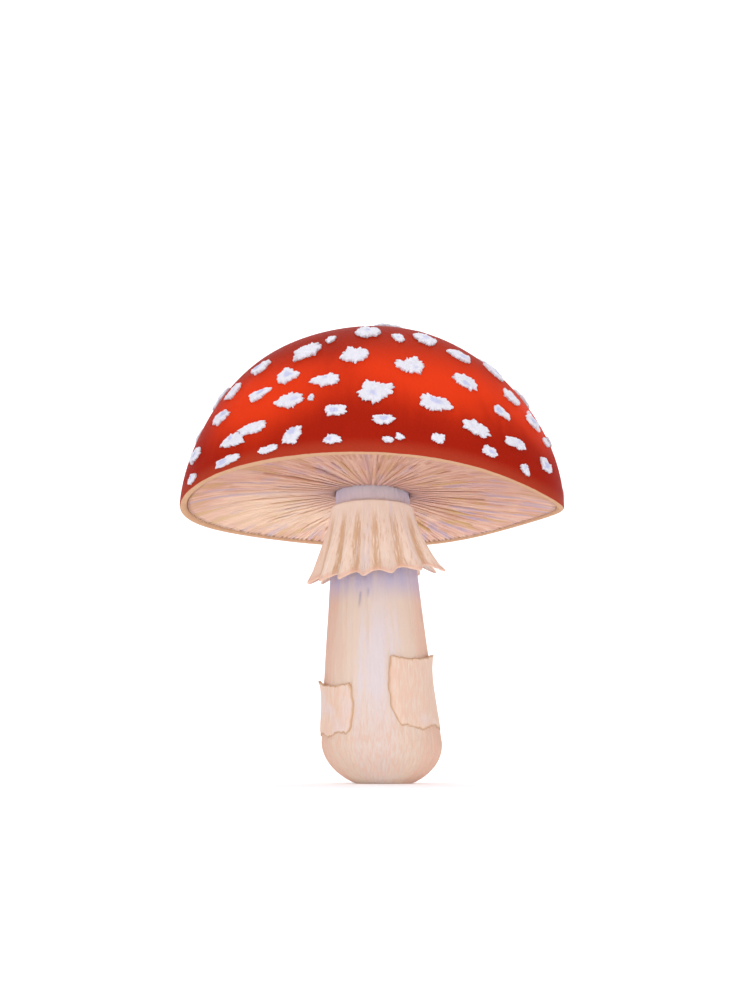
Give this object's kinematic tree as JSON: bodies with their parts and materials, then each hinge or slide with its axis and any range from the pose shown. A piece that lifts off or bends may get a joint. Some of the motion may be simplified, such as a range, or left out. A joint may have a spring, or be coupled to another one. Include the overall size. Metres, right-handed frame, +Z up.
{
  "type": "fly agaric mushroom",
  "caption": "Picked fly agaric standing on its foot: domed red cap with white warts, free gills, tapered stem with torn veil flaps and a pleated skirt ring.",
  "frame": {"origin": "middle of the small flat spot under the foot, on the surface that the mushroom stands on", "axes": "+Z up the stem, -Y towards the viewer of the picture, +X to the viewer's right"},
  "size_m": [0.1223, 0.1221, 0.1429],
  "materials": {
    "cap_skin": "smooth moist red skin, satin gloss, with matt white warts",
    "gill_flesh": "matt cream flesh with peach, ochre and lavender streaks",
    "stem_flesh": "matt fibrous cream flesh",
    "ring_veil": "matt cream membrane, ochre in its folds"
  },
  "bodies": {
    "root": {"cap": "cap_skin", "gills": "gill_flesh", "stem": "stem_flesh", "ring": "ring_veil"}
  },
  "joints": []
}
